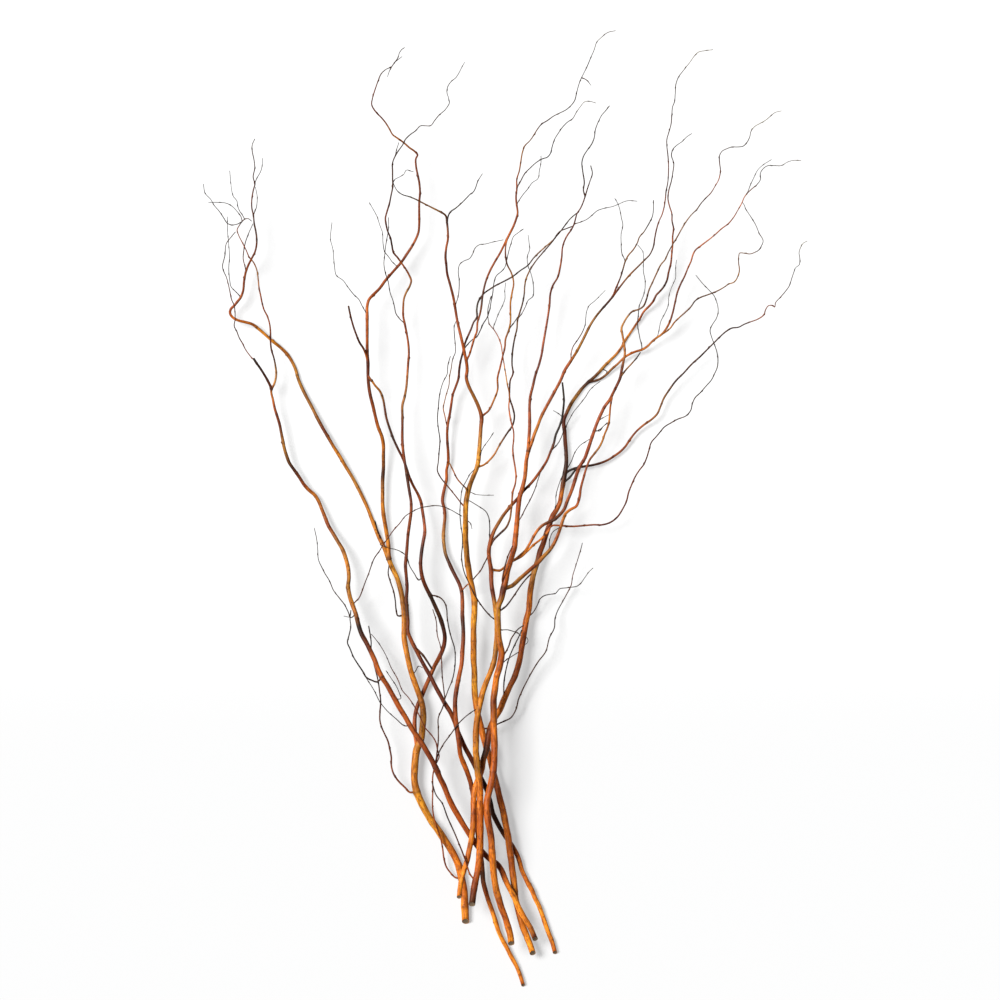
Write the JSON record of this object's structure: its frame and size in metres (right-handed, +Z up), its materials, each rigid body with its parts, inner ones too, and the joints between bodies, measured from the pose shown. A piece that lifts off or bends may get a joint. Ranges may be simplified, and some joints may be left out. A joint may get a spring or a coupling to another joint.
{
  "type": "curly willow stem bunch",
  "caption": "Loose bunch of dried curly willow stems lying down, butts together and branching tips fanned out.",
  "frame": {"origin": "centre of the bunch's footprint, on the surface it lies on", "axes": "+Y from the cut butts to the tips, +X to the right of a viewer who looks down with the tips up, +Z up from the surface"},
  "size_m": [0.7526, 1.1923, 0.1082],
  "materials": {
    "bark_ochre": "satin bark, ochre to golden orange, with dark knots and grey-brown tips",
    "bark_crossing": "satin bark, red-brown above and orange at the butt",
    "bark_slender": "satin bark, dark red-brown",
    "bark_golden": "satin bark, golden orange with a paler, duller top",
    "bark_far_left": "satin bark, brown with grey-brown twigs",
    "bark_right": "satin bark, dark brown to near black at the forks",
    "bark_olive": "satin bark, olive-brown below and red-brown above",
    "bark_top": "satin bark, orange-brown with red-brown leaders"
  },
  "bodies": {
    "root": {"stem_ochre_forked": "bark_ochre", "stem_crossing": "bark_crossing", "stem_slender": "bark_slender", "stem_golden": "bark_golden", "stem_far_left": "bark_far_left", "stem_right": "bark_right", "stem_olive": "bark_olive", "stem_top": "bark_top"}
  },
  "joints": []
}
